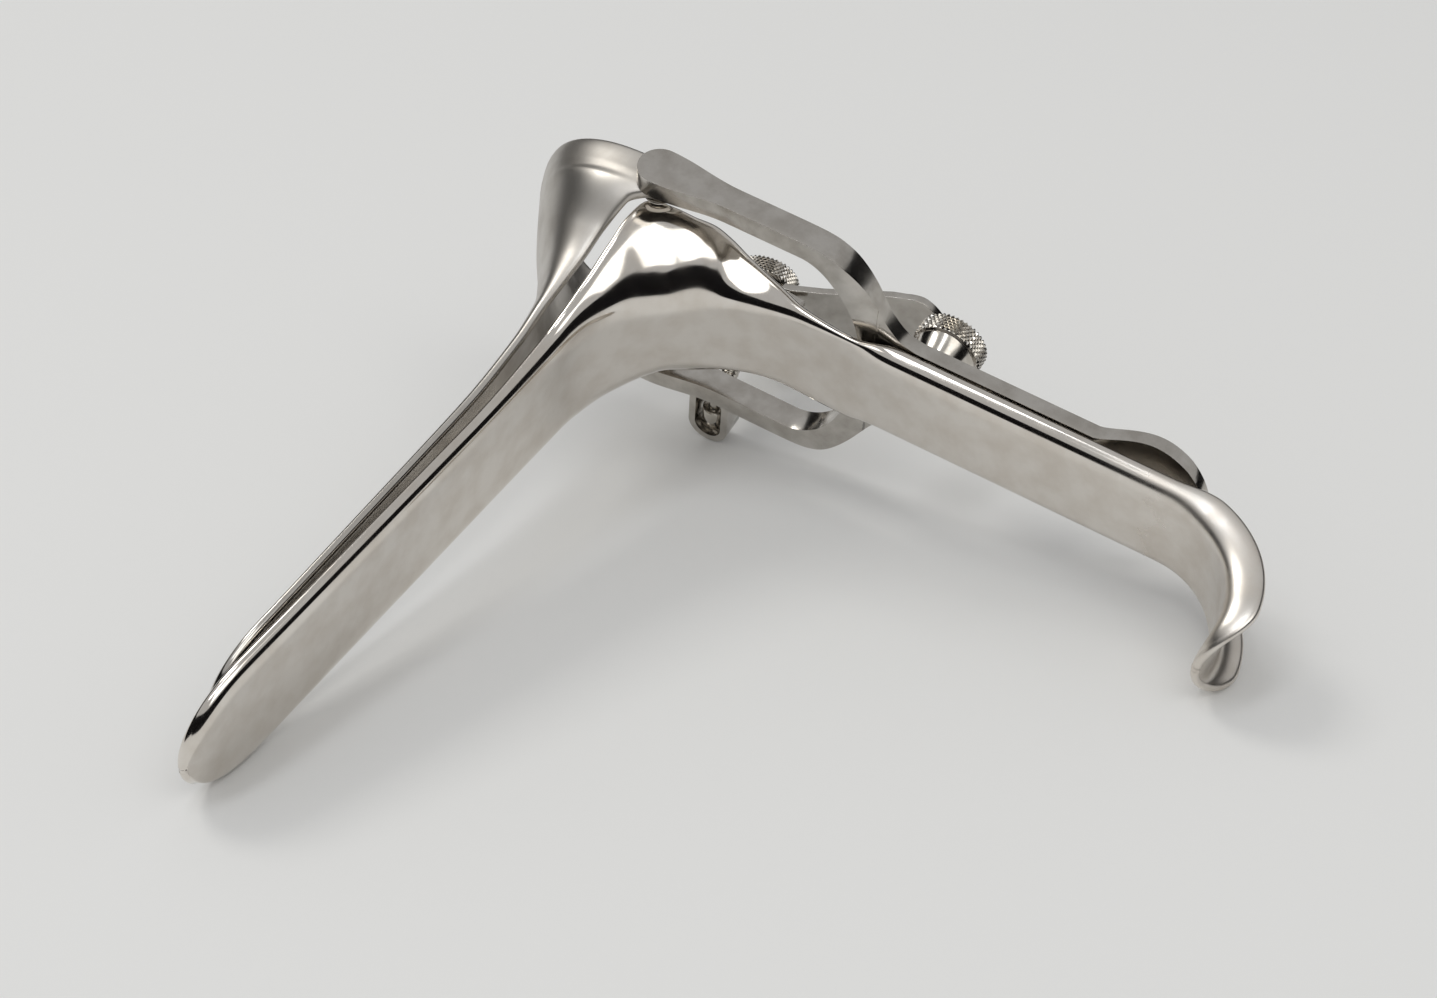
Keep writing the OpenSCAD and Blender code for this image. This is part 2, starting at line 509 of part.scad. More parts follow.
module lock_washer() {
    color("silver") rest() on_handle() translate([lock_down, back + 0.02, 0]) rotate([-90, 0, 0]) difference() {
        cylinder(r = 4.9, h = 0.88, $fn = 60);
        translate([0, 0, -1]) cylinder(r = stud_r + fit, h = 3, $fn = 48);
    }
}

module lock_nut() {
    color("silver") rest() on_handle() translate([lock_down, back + 0.95, 0]) rotate([-90, 0, 0])
        rotate_extrude($fn = 60) polygon([
            [stud_r + fit, 0], [3.6, 0], [3.8, 1.2], [4.7, 4.2], [nut_r - 0.5, 5.8], [nut_r, 6.1],
            [nut_r, 5.4 + nut_t], [nut_r - 0.6, 6 + nut_t], [3, 6.6 + nut_t], [stud_r + fit, 6.6 + nut_t]]);
}

lower_blade();
lock_stud();
frame_yoke();
upper_blade();
thumb_lever();
pivot_pins();
rod_loop();
rod_pin();
adjusting_rod();
thumb_nut();
lock_washer();
lock_nut();
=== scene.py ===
import bpy
import bmesh
import math
from mathutils import Matrix, Vector


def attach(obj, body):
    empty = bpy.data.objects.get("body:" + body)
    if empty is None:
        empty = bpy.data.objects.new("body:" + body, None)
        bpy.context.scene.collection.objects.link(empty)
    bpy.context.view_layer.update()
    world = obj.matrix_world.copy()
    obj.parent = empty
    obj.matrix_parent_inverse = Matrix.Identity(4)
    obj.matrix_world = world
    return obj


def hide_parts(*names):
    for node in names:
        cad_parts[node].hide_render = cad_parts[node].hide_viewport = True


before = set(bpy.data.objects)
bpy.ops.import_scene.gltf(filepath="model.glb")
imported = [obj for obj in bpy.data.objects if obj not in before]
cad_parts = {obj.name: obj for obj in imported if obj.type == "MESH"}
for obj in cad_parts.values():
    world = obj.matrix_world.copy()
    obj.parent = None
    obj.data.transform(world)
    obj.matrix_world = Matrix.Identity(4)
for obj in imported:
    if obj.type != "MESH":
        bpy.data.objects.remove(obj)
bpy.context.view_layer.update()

# The instrument is drawn upright in millimetres, x to the examiner, y up to the upper blade, z sideways,
# and these four rows lay it on the table, as the CAD part does
layRows = ((0.970074, -0.0561523, -0.236227), (0.0, 0.972892, -0.231261), (0.242809, 0.22434, 0.943777))
layShift = (4.69756, 40.3723, 28.0889)


def laid(p):
    return Vector([(sum(r[i] * p[i] for i in range(3)) + s) / 1000 for r, s in zip(layRows, layShift)])


layMatrix = Matrix([[*(v / 1000 for v in r), s / 1000] for r, s in zip(layRows, layShift)] + [[0, 0, 0, 1]])


def linear(hexColour):
    parts = [int(hexColour[i:i + 2], 16) / 255 for i in (1, 3, 5)]
    return tuple(c / 12.92 if c <= 0.04045 else ((c + 0.055) / 1.055) ** 2.4 for c in parts) + (1.0,)


def add(tree, kind, links=(), **settings):
    # one node with its settings; a number or colour on a socket is given as links ("name or index", value)
    node = tree.nodes.new(kind)
    for key, value in settings.items():
        setattr(node, key, value)
    for key, value in dict(links).items():
        socket = node.inputs[key]
        if isinstance(value, bpy.types.NodeSocket):
            tree.links.new(value, socket)
        else:
            socket.default_value = value
    return node


def meshPiece(name, verts, faces, material, smooth=True):
    mesh = bpy.data.meshes.new(name)
    mesh.from_pydata(verts, [], faces)
    mesh.validate()
    piece = bpy.data.objects.new(name, mesh)
    bpy.context.scene.collection.objects.link(piece)
    mesh.materials.append(material)
    if smooth:
        mesh.shade_smooth()
    return piece


def settle(piece, steps=()):
    # applies the modifiers and puts the result back as a plain mesh
    for kind, settings in steps:
        modifier = piece.modifiers.new(kind.title(), kind)
        for key, value in settings.items():
            setattr(modifier, key, value)
    bpy.context.view_layer.update()
    done = bpy.data.meshes.new_from_object(piece.evaluated_get(bpy.context.evaluated_depsgraph_get()))
    piece.modifiers.clear()
    piece.data = done
    return piece


def reworked(piece, work):
    # hands the mesh to bmesh for one piece of work and puts it back
    shape = bmesh.new()
    shape.from_mesh(piece.data)
    work(shape)
    shape.to_mesh(piece.data)
    shape.free()
    return piece


def faceOut(shape):
    bmesh.ops.recalc_face_normals(shape, faces=shape.faces)


def dress(piece, body, slotName, *nodes):
    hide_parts(*nodes)
    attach(piece, body)


def steel(name, light, dark, rough, roughSpan, patchMm, grainMm, bump, stretch=(1, 1, 1), along=False,
          ground=None):
    # pattern sizes are in millimetres; the finish is a clear metal, so its IOR stays as Blender has it
    # along: the grain follows the sheet; ground: along which axis, from where to where, and how much duller
    material = bpy.data.materials.new(name)
    material.use_nodes = True
    tree = material.node_tree
    shader = tree.nodes["Principled BSDF"]
    shader.inputs["Metallic"].default_value = 1.0
    place = add(tree, "ShaderNodeTexCoord")
    source = place.outputs["Object"]
    if along:
        source = add(tree, "ShaderNodeUVMap", uv_map="alongSheet").outputs["UV"]
    turned = add(tree, "ShaderNodeMapping", {"Vector": source, "Scale": stretch})
    patches = add(tree, "ShaderNodeTexNoise", {"Vector": place.outputs["Object"], "Scale": 1000 / patchMm,
                                               "Detail": 5.0, "Roughness": 0.55})
    grain = add(tree, "ShaderNodeTexNoise", {"Vector": turned.outputs["Vector"], "Scale": 1000 / grainMm,
                                             "Detail": 4.0, "Roughness": 0.6})
    smudge = add(tree, "ShaderNodeMapRange", {"Value": patches.outputs["Fac"], "From Min": 0.38,
                                              "From Max": 0.66})
    colour = add(tree, "ShaderNodeMix", {"Factor": smudge.outputs["Result"], "A": linear(light),
                                         "B": linear(dark)}, data_type="RGBA")
    tree.links.new(colour.outputs["Result"], shader.inputs["Base Color"])
    fine = add(tree, "ShaderNodeMath", {0: grain.outputs["Fac"], 1: 0.35}, operation="MULTIPLY")
    mixed = add(tree, "ShaderNodeMath", {0: smudge.outputs["Result"], 1: fine.outputs["Value"]},
                operation="ADD")
    roughness = add(tree, "ShaderNodeMapRange", {"Value": mixed.outputs["Value"], "From Min": 0.0,
                                                 "From Max": 1.35,
                                                 "To Min": rough, "To Max": rough + roughSpan})
    dull = roughness.outputs["Result"]
    if ground:
        spot = add(tree, "ShaderNodeSeparateXYZ", {0: place.outputs["Object"]})
        axis, start, full, duller = ground
        more = add(tree, "ShaderNodeMapRange", {"Value": spot.outputs[axis], "From Min": start,
                                                "From Max": full, "To Min": 0.0, "To Max": duller})
        dull = add(tree, "ShaderNodeMath", {0: dull, 1: more.outputs["Result"]}, operation="ADD").outputs[0]
    tree.links.new(dull, shader.inputs["Roughness"])
    height = add(tree, "ShaderNodeBump", {"Height": grain.outputs["Fac"], "Strength": 0.35,
                                          "Distance": bump / 1000})
    tree.links.new(height.outputs["Normal"], shader.inputs["Normal"])
    return material


# Mirror polished stainless sheet, buffed lengthwise: clear reflections with faint handling smudges,
# and softer ones on the hook, as the photograph shows them
bladeSteel = steel("polishedSheetSteel", "#E3DED7", "#D8D1C8", 0.05, 0.10, 5.0, 0.7, 0.004, (0.05, 1, 1),
                   along=True, ground=("Y", -0.03, -0.05, 0.24))
# The same sheet where the funnel was only satin ground: mottled and blurred reflections
funnelSteel = steel("satinGroundSteel", "#D0CCC6", "#C4BFB8", 0.11, 0.07, 5.0, 0.5, 0.004, (0.08, 1, 1),
                    along=True, ground=("X", -0.03, 0.012, 0.24))
# Milled and polished bar of the yoke, with a fine linear grain
yokeSteel = steel("polishedBarSteel", "#C9C5BF", "#B3AEA7", 0.13, 0.14, 4.0, 0.5, 0.006, (0.25, 1, 1))
# Turned, bright small parts with cut rims
turnedSteel = steel("turnedBrightSteel", "#D2CDC6", "#BDB8AF", 0.10, 0.12, 3.0, 0.5, 0.006)
print("materials made")


# weld is in metres, the rest in millimetres and counts
sheet = {"thick": 1.5, "rimPoints": 8, "wallPoints": 18, "arcPoints": 34, "endCut": 0.13, "blunt": 2.25,
         "endRows": 6, "least": 0.05, "weld": 0.000002}

lower = {"length": 86, "width": 21.9, "wall": 2.7, "nose": 14.5, "bendRadius": 27.7, "lean": 5.0,
         "flareHalf": 17, "flareHeight": 13.9, "handle": 63, "handleWidth": 18.6, "flange": 3.5,
         "hookRadius": 15.5, "hookTurn": 80, "tongue": 6.5, "tongueRadius": 13, "hookFlange": 5.6,
         "tongueNose": 8, "endDegrees": 18}

bendDegrees = 90 - lower["lean"]
bendArc = math.radians(bendDegrees) * lower["bendRadius"]
hookArc = math.radians(lower["hookTurn"]) * lower["hookRadius"]
atHook = bendArc + lower["handle"]
atTongue = atHook + hookArc
atEnd = atTongue + lower["tongue"]
lean = math.radians(lower["lean"])
downHandle = Vector((math.sin(lean), -math.cos(lean)))
backHandle = Vector((math.cos(lean), math.sin(lean)))
bendEnd = Vector((lower["bendRadius"] * math.sin(math.radians(bendDegrees)),
                  lower["bendRadius"] * (math.cos(math.radians(bendDegrees)) - 1)))
hookCentre = bendEnd + downHandle * lower["handle"] - backHandle * lower["hookRadius"]


def turnedNormal(degrees):
    a = math.radians(degrees)
    return backHandle * math.cos(a) + downHandle * math.sin(a)


hookNormal = turnedNormal(lower["hookTurn"])
tongueCentre = hookCentre + hookNormal * (lower["hookRadius"] - lower["tongueRadius"])


def onPath(s):
    # point on the sheet's outer line and its normal, at length s from the start of the bend
    if s <= 0:
        return Vector((s, 0)), Vector((0, 1))
    if s <= bendArc:
        a = math.radians(s / bendArc * bendDegrees)
        return Vector((lower["bendRadius"] * math.sin(a), lower["bendRadius"] * (math.cos(a) - 1))), \
            Vector((math.sin(a), math.cos(a)))
    if s <= atHook:
        return bendEnd + downHandle * (s - bendArc), backHandle.copy()
    if s <= atTongue:
        n = turnedNormal((s - atHook) / hookArc * lower["hookTurn"])
        return hookCentre + n * lower["hookRadius"], n
    n = turnedNormal(lower["hookTurn"] + math.degrees((s - atTongue) / lower["tongueRadius"]))
    return tongueCentre + n * lower["tongueRadius"], n


def curveAt(rows, s, c):
    # smooth run through rows of [place, values], without overshoot
    i = 0
    while i < len(rows) - 2 and s >= rows[i + 1][0]:
        i += 1

    def rise(k):
        return (rows[k + 1][c] - rows[k][c]) / (rows[k + 1][0] - rows[k][0])

    def slope(k):
        if k <= 0 or k >= len(rows) - 1:
            return 0
        a, b = rise(k - 1), rise(k)
        return 0 if a * b <= 0 else 2 * a * b / (a + b)

    h = rows[i + 1][0] - rows[i][0]
    u = max(0, min(1, (s - rows[i][0]) / h))
    return rows[i][c] * (1 + 2 * u) * (1 - u) ** 2 + rows[i + 1][c] * u * u * (3 - 2 * u) \
        + h * slope(i) * u * (1 - u) ** 2 - h * slope(i + 1) * u * u * (1 - u)


def arch(a, b, c, d, count):
    # points of a cubic arc from a to d
    return [a * (1 - t) ** 3 + 3 * b * t * (1 - t) ** 2 + 3 * c * t * t * (1 - t) + d * t ** 3
            for t in (i / count for i in range(count + 1))]


rimThick = sheet["thick"] / 2
flatBlade = lower["width"] / 2 - 3.1
flatHandle = lower["handleWidth"] / 2 - 2.9
halfHandle = lower["handleWidth"] / 2


def halfAt(t):
    return lower["width"] / 2 + (lower["flareHalf"] - lower["width"] / 2) * t


# place on the path, half width of the flat, half width at the rim, rim height, wall angle
flare = lower["flareHeight"]
wallRows = [
    [-lower["length"], flatBlade, lower["width"] / 2, lower["wall"] - rimThick, 90],
    [-lower["length"] * 0.25, flatBlade, lower["width"] / 2, lower["wall"] - rimThick, 90],
    [0, flatBlade - 0.1, halfAt(0.14), lower["wall"], 84],
    [bendArc * 0.1, flatBlade - 0.3, halfAt(0.26), lower["wall"] + 0.6, 80],
    [bendArc * 0.24, flatBlade - 0.9, halfAt(0.46), flare * 0.4, 76],
    [bendArc * 0.35, flatBlade - 1.6, halfAt(0.75), flare * 0.63, 74],
    [bendArc * 0.43, flatBlade - 2.1, halfAt(0.93), flare * 0.88, 72],
    [bendArc * 0.485, flatBlade - 2.4, halfAt(1), flare, 72],
    [bendArc * 0.55, flatHandle - 0.9, lower["flareHalf"] - 0.3, flare * 0.86, 72],
    [bendArc * 0.6, flatHandle - 0.8, lower["flareHalf"] - 0.8, flare * 0.735, 71],
    [bendArc * 0.65, flatHandle - 0.3, lower["flareHalf"] - 1.6, flare * 0.67, 66],
    [bendArc * 0.7, flatHandle + 0.1, lower["flareHalf"] - 3.1, flare * 0.575, 60],
    [bendArc * 0.76, flatHandle + 0.2, halfHandle + 3, flare * 0.44, 59],
    [bendArc * 0.86, flatHandle + 0.1, halfHandle + 1.4, flare * 0.27, 60],
    [bendArc, flatHandle, halfHandle + 0.3, 1.5, 62],
    [bendArc + 9.5, flatHandle, halfHandle, 0.8, 64],
    [bendArc + 15.5, flatHandle, halfHandle, lower["flange"] - rimThick, 90],
    [atHook, flatHandle, halfHandle, lower["flange"] - rimThick, 90],
    [atHook + hookArc * 0.3, flatHandle, halfHandle,
     lower["flange"] + (lower["hookFlange"] - lower["flange"]) * 0.8 - rimThick, 88],
    [atHook + hookArc * 0.7, flatHandle, halfHandle, lower["hookFlange"] - rimThick, 86],
    [atTongue, flatHandle, halfHandle, lower["hookFlange"] - 0.3 - rimThick, 86],
    [atEnd, flatHandle, halfHandle, 2.4 - rimThick, 86]]


def shrink(q, least):
    if q <= 0:
        return 1
    return max(least, max(0, 1 - q ** sheet["blunt"]) ** (1 / sheet["blunt"]))


def halfRound(a, b, d):
    # rounded rim from a to b, bulging along d
    count = sheet["rimPoints"]
    r = (a - b).length / 2
    return [(a + b) / 2 + (a - b) / 2 * math.cos(math.pi * i / count) + d * r * math.sin(math.pi * i / count)
            for i in range(1, count)]


def sectionAt(s, least):
    kn = shrink((-lower["length"] + lower["nose"] - s) / lower["nose"], least)
    k = kn * shrink((s - atEnd + lower["tongueNose"]) / lower["tongueNose"], least)
    t = max(0, min(1, (k - sheet["endCut"]) / (0.9 - sheet["endCut"])))
    g = t * t * (3 - 2 * t)
    a = math.radians(lower["endDegrees"] + (curveAt(wallRows, s, 4) - lower["endDegrees"]) * g)
    high = 0.12 + (curveAt(wallRows, s, 3) - 0.12) * g
    lift = 0 if kn >= 1 else lower["wall"] - high - rimThick * (1 + math.cos(a))
    flat = (curveAt(wallRows, s, 1) - 0.6 * (1 - g)) * k
    wide = curveAt(wallRows, s, 2) * k
    thick = sheet["thick"]
    count = sheet["wallPoints"]
    # where the walls stand high they sweep up in one broad curve, elsewhere the corner is tighter
    broad = max(0, min(1, (high - 3) / 6))
    push, pull = 0.6 - 0.14 * broad, 0.55
    outer = arch(Vector((flat, 0)), Vector((flat + push * (wide - flat), 0)),
                 Vector((wide - pull * high * math.cos(a), high * (1 - pull * math.sin(a)))),
                 Vector((wide, high)), count)
    wideIn = max(min(0.2, wide * 0.6), wide - thick * math.sin(a))
    highIn = high + thick * math.cos(a)
    flatIn = min(flat - 0.5, wideIn - 0.4 * (wideIn - 0.1))
    inner = arch(Vector((max(min(0.1, wideIn * 0.4), flatIn), thick)),
                 Vector((flatIn + push * (wideIn - flatIn), thick)),
                 Vector((wideIn - pull * (highIn - thick) * math.cos(a),
                         thick + (highIn - thick) * (1 - pull * math.sin(a)))),
                 Vector((wideIn, highIn)), count)
    rim = halfRound(outer[-1], inner[-1], Vector((math.cos(a), math.sin(a))))
    # a few points across the flat keep its triangles even
    flats = [outer[0] * f for f in (0.66, 0.33)]
    flatsIn = [Vector((inner[0].x * f, thick)) for f in (0.33, 0.66)]

    def other(points):
        return [Vector((-p.x, p.y)) for p in points]

    half = outer[::-1] + flats
    halfIn = flatsIn + inner
    ring = half + [Vector((0, 0))] + other(half[::-1]) + other(rim) + other(halfIn[::-1]) \
        + [Vector((0, thick))] + halfIn + rim[::-1]
    return [Vector((p.x, p.y + lift)) for p in ring], 2 * len(half) + 1


def steps(a, b, count):
    return [a + (b - a) * i / count for i in range(count + 1)]


def loft(name, rings, side, ends, material):
    # skin over closed rings of [outer, rim, inner, rim]; each end is rounded over half the sheet
    size = len(rings[0])
    rim = sheet["rimPoints"] - 1

    def middle(ring, j):
        # halfway through the sheet, or the centre of the rim's round
        if side <= j < side + rim:
            return (ring[side - 1] + ring[side + rim]) / 2
        if j >= 2 * side + rim:
            return (ring[2 * side + rim - 1] + ring[0]) / 2
        return (ring[j] + ring[2 * side + rim - 1 - j]) / 2

    def rounded(ring, outwards):
        more = []
        for i in range(1, sheet["endRows"] + 1):
            a = math.pi / 2 * i / sheet["endRows"]
            new = []
            for j in range(size):
                mid = middle(ring, j)
                ahead = (ring[j] - mid).dot(outwards) / outwards.length_squared
                across = ring[j] - mid - outwards * ahead
                new.append(mid + across * math.cos(a) + outwards * max(math.sin(a), ahead))
            more.append(new)
        return more

    rings = rounded(rings[0], ends[0])[::-1] + rings + rounded(rings[-1], ends[1])
    way = [0.0]
    for i in range(1, len(rings)):
        way.append(way[-1] + (rings[i][side // 2] - rings[i - 1][side // 2]).length / 1000)
    girth = []
    for ring in rings:
        run = [0.0]
        for j in range(size):
            run.append(run[-1] + (ring[(j + 1) % size] - ring[j]).length / 1000)
        girth.append([v - run[side // 2] for v in run])
    verts = [laid(p) for ring in rings for p in ring]
    faces = [(i * size + j, i * size + (j + 1) % size, (i + 1) * size + (j + 1) % size, (i + 1) * size + j)
             for i in range(len(rings) - 1) for j in range(size)]
    piece = meshPiece(name, verts, faces, material)
    # own map in metres: along the sheet, and round its section
    flatMap = piece.data.uv_layers.new(name="alongSheet")
    k = 0
    for i in range(len(rings) - 1):
        for j in range(size):
            for a, b in ((i, j), (i, j + 1), (i + 1, j + 1), (i + 1, j)):
                flatMap.data[k].uv = (way[a], girth[a][b])
                k += 1

    def weld(shape):
        bmesh.ops.remove_doubles(shape, verts=shape.verts, dist=sheet["weld"])
        bmesh.ops.dissolve_degenerate(shape, edges=shape.edges, dist=sheet["weld"] / 4)
        # a corner that only two faces share would fold flat on itself once they are cut into triangles
        bmesh.ops.dissolve_verts(shape, verts=[v for v in shape.verts if len(v.link_edges) == 2])
        faceOut(shape)
        if shape.calc_volume(signed=True) < 0:
            bmesh.ops.reverse_faces(shape, faces=shape.faces)

    reworked(piece, weld)
    piece.data.shade_smooth()
    return piece


def lowerBlade():
    least = sheet["least"]
    top = (1 - least ** sheet["blunt"]) ** (1 / sheet["blunt"])
    nose = [-lower["length"] + lower["nose"] * (1 - top * math.cos(math.radians(a)))
            for a in steps(0, 90, 26)]
    ends = [atEnd - lower["tongueNose"] * (1 - top * math.sin(math.radians(a))) for a in steps(0, 90, 20)]
    places = nose + steps(-lower["length"] + lower["nose"], 0, 36)[1:] + steps(0, bendArc, 84)[1:] \
        + steps(bendArc, bendArc + 18, 24)[1:] + steps(bendArc + 18, atHook, 16)[1:] \
        + steps(atHook, atEnd - lower["tongueNose"], 40)[1:] + ends[1:]
    rings = []
    rim = sheet["rimPoints"] - 1
    for s in places:
        centre, normal = onPath(s)
        points, side = sectionAt(s, least)
        ring = [Vector((centre.x + normal.x * p.y, centre.y + normal.y * p.y, p.x)) for p in points]
        # the rim's round faces square to the outline, so it turns forward round the two ends
        near, far = sectionAt(s - 0.01, least)[0][side - 1].x, sectionAt(s + 0.01, least)[0][side - 1].x
        grow = (abs(far) - abs(near)) / 0.02
        if abs(grow) > 0.05:
            onward = Vector((normal.y, -normal.x, 0))
            outer = Vector((0, 0, 1)) / math.sqrt(1 + grow * grow) - onward * grow / math.sqrt(1 + grow * grow)
            last = 2 * side + rim
            for first, a, b, sign in ((side, side - 1, side + rim, -1), (last, last - 1, 0, 1)):
                mid = (ring[a] + ring[b]) / 2
                for j in range(first, first + rim):
                    out = (ring[j].z - mid.z) * sign
                    ring[j] = Vector((ring[j].x, ring[j].y, mid.z)) \
                        + Vector((outer.x, outer.y, outer.z * sign)) * out
        rings.append(ring)
    n = onPath(atEnd)[1]
    return loft("lowerBladeSheet", rings, side, (Vector((-0.7, 0, 0)), Vector((-n.y, n.x, 0)) * -0.7),
                bladeSteel)


dress(lowerBlade(), "handle", "blade_steel", "lower_blade")
print("lower blade and handle made")


upper = {"length": 107.5, "wall": 2.3, "rimGap": 0.5, "funnelUp": 24.9, "funnelBack": 3.6,
         "earGap": 0.3, "pivotUp": 28, "pivotBack": 4}
yoke = {"half": 24.4, "arm": 3.4, "armDepth": 4.4, "endRadius": 3.65, "slide": 2.55, "slideWidth": 18.2,
        "gap": 0.3, "travel": 9, "tabStart": 48.9, "tabLength": 19, "tabRise": 3.1, "crotch": 10,
        "tabCorner": 5, "edge": 0.45, "runOut": 13}

pivot = bendEnd - downHandle * upper["pivotUp"] + backHandle * upper["pivotBack"]
earHalf = yoke["half"] - yoke["arm"] - upper["earGap"]
edgeBase = lower["wall"] + upper["rimGap"]
tipX = -upper["length"]
noseUpper = lower["nose"] - 1
halfBlade = lower["width"] / 2
# place behind the pivot, top, half width, edge, roundness of the section
upperRows = [
    [tipX, edgeBase + upper["wall"], halfBlade - 0.6, edgeBase, 3.2],
    [tipX + noseUpper, edgeBase + upper["wall"], halfBlade - 0.5, edgeBase + 0.2, 3.2],
    [-75, edgeBase + upper["wall"] + 0.5, halfBlade - 0.4, edgeBase + 0.6, 3.1],
    [-56, edgeBase + upper["wall"] + 1.1, halfBlade - 0.3, edgeBase + 1, 2.9],
    [-45.5, edgeBase + upper["wall"] + 1.6, halfBlade - 0.3, edgeBase + 1.3, 2.8],
    [-32, edgeBase + upper["wall"] + 3, halfBlade + 0.1, edgeBase + 2.4, 2.5],
    [-24, pivot.y + upper["funnelUp"] * 0.3, halfBlade + 0.8, edgeBase + 3.4, 2.3],
    [-15.3, pivot.y + upper["funnelUp"] * 0.5, halfBlade + 2.2, edgeBase + 3.8, 2.15],
    [-9.7, pivot.y + upper["funnelUp"] * 0.68, halfBlade + 4.5, edgeBase + 3.9, 2.1],
    [-4.4, pivot.y + upper["funnelUp"] * 0.83, earHalf - 1.7, pivot.y + 3.1, 2.15],
    [-2.5, pivot.y + upper["funnelUp"] * 0.88, earHalf - 0.7, pivot.y + 0.9, 2.3],
    [-1.2, pivot.y + upper["funnelUp"] * 0.915, earHalf - 0.2, pivot.y - 2.6, 2.35],
    [0.2, pivot.y + upper["funnelUp"] * 0.95, earHalf, pivot.y - 3.5, 2.4],
    [upper["funnelBack"], pivot.y + upper["funnelUp"], earHalf, pivot.y - 3.4, 2.45]]


def oval(b, h, p, e):
    points = []
    for i in range(-sheet["arcPoints"], sheet["arcPoints"] + 1):
        a = math.pi / 2 * i / sheet["arcPoints"]
        r = (abs(math.sin(a)) ** p + abs(math.cos(a)) ** p) ** (-1 / p)
        points.append(Vector((-b * r * math.sin(a), e + h * r * math.cos(a))))
    return points


def upperRing(x, least):
    k = shrink((tipX + noseUpper - x) / noseUpper, least)
    thick, dx = sheet["thick"], 0.2
    top = curveAt(upperRows, x, 1)
    b = curveAt(upperRows, x, 2) * k
    e = curveAt(upperRows, x, 3)
    p = curveAt(upperRows, x, 4)
    slopeTop = (curveAt(upperRows, x + dx, 1) - top) / dx
    slopeSide = (curveAt(upperRows, x + dx, 2) - curveAt(upperRows, x, 2)) / dx
    thickTop = thick * math.sqrt(1 + slopeTop ** 2)
    thickSide = min(thick * math.sqrt(1 + slopeSide ** 2), b * 0.7)
    h = (top - e - rimThick) * (0.45 + 0.55 * k)
    outer = oval(b, h, p, e + rimThick)
    inner = oval(b - thickSide, max(0.4, h - thickTop), p, e + rimThick)
    down = Vector((0, -1))
    ring = outer[::-1] + halfRound(outer[0], inner[0], down) + inner \
        + halfRound(outer[-1], inner[-1], down)[::-1]
    return [Vector((pivot.x + x, q.y, q.x)) for q in ring], len(outer)


def upperBlade():
    least = sheet["least"]
    top = (1 - least ** sheet["blunt"]) ** (1 / sheet["blunt"])
    places = [tipX + noseUpper * (1 - top * math.cos(math.radians(a))) for a in steps(0, 90, 24)] \
        + steps(tipX + noseUpper, -36, 36)[1:] + steps(-36, -6, 60)[1:] \
        + steps(-6, upper["funnelBack"], 40)[1:]
    made = [upperRing(x, least) for x in places]
    return loft("upperBladeSheet", [m[0] for m in made], made[0][1],
                (Vector((-0.7, 0, 0)), Vector((0.7, 0.07, 0))), funnelSteel)


dress(upperBlade(), "upper", "funnel_steel", "upper_blade")
print("upper blade made")


backFace = lower["flange"] + yoke["gap"] + yoke["slide"]
armIn = yoke["half"] - yoke["arm"]
stud = {"down": 19.7, "radius": 2.3, "pitch": 0.9, "depth": 0.28, "above": 9.6, "nutSeat": 0.95}


def spline(points, each):
    # smooth line through points, a few steps between each two
    out = []
    for i in range(len(points) - 1):
        p0, p1, p2, p3 = (Vector(points[max(0, min(len(points) - 1, i + k))]) for k in (-1, 0, 1, 2))
        for n in range(each):
            t = n / each
            out.append(0.5 * (2 * p1 + (p2 - p0) * t + (2 * p0 - 5 * p1 + 4 * p2 - p3) * t * t
                              + (3 * p1 - p0 - 3 * p2 + p3) * t ** 3))
    return out + [Vector(points[-1])]


def sideProfile():
    # u runs down the handle, v to its back
    t1 = yoke["tabStart"]
    r = yoke["endRadius"]
    v = upper["pivotBack"]
    # the round end narrows gradually into the arm
    points = [(-upper["pivotUp"] + r * math.cos(a), v + r * math.sin(a))
              for a in steps(1.5 * math.pi, math.pi / 2, 40)]
    runOut = [(t, 0.5 + 0.5 * math.cos(math.pi * t)) for t in (i / 14 for i in range(1, 15))]
    points += [(-upper["pivotUp"] + yoke["runOut"] * t, backFace + (v + r - backFace) * f) for t, f in runOut]
    frontFace = backFace - yoke["armDepth"]
    frontEdge = [(-upper["pivotUp"] + yoke["runOut"] * t, frontFace + (v - r - frontFace) * f)
                 for t, f in runOut]

    def tabV(t):
        arched = yoke["tabRise"] * math.sin(math.pi * t * 1.02) ** 1.3 if t * 1.02 < 1 else 0
        return arched - 0.1 * t * t

    length = yoke["tabLength"]
    points += [(t1 + length * t, backFace + tabV(t)) for t in steps(0, 1, 36)]
    points += [(t1 + length * t - 0.35 * math.sin(math.pi * t), backFace - yoke["slide"] + tabV(t) + 0.5 * t)
               for t in steps(1, 0, 36)]
    points += [(4 + 9 * t, backFace - yoke["armDepth"]
                + (yoke["armDepth"] - yoke["slide"]) * (1 - math.cos(math.pi * t)) / 2)
               for t in steps(1, 0, 16)]
    return points + frontEdge[::-1]


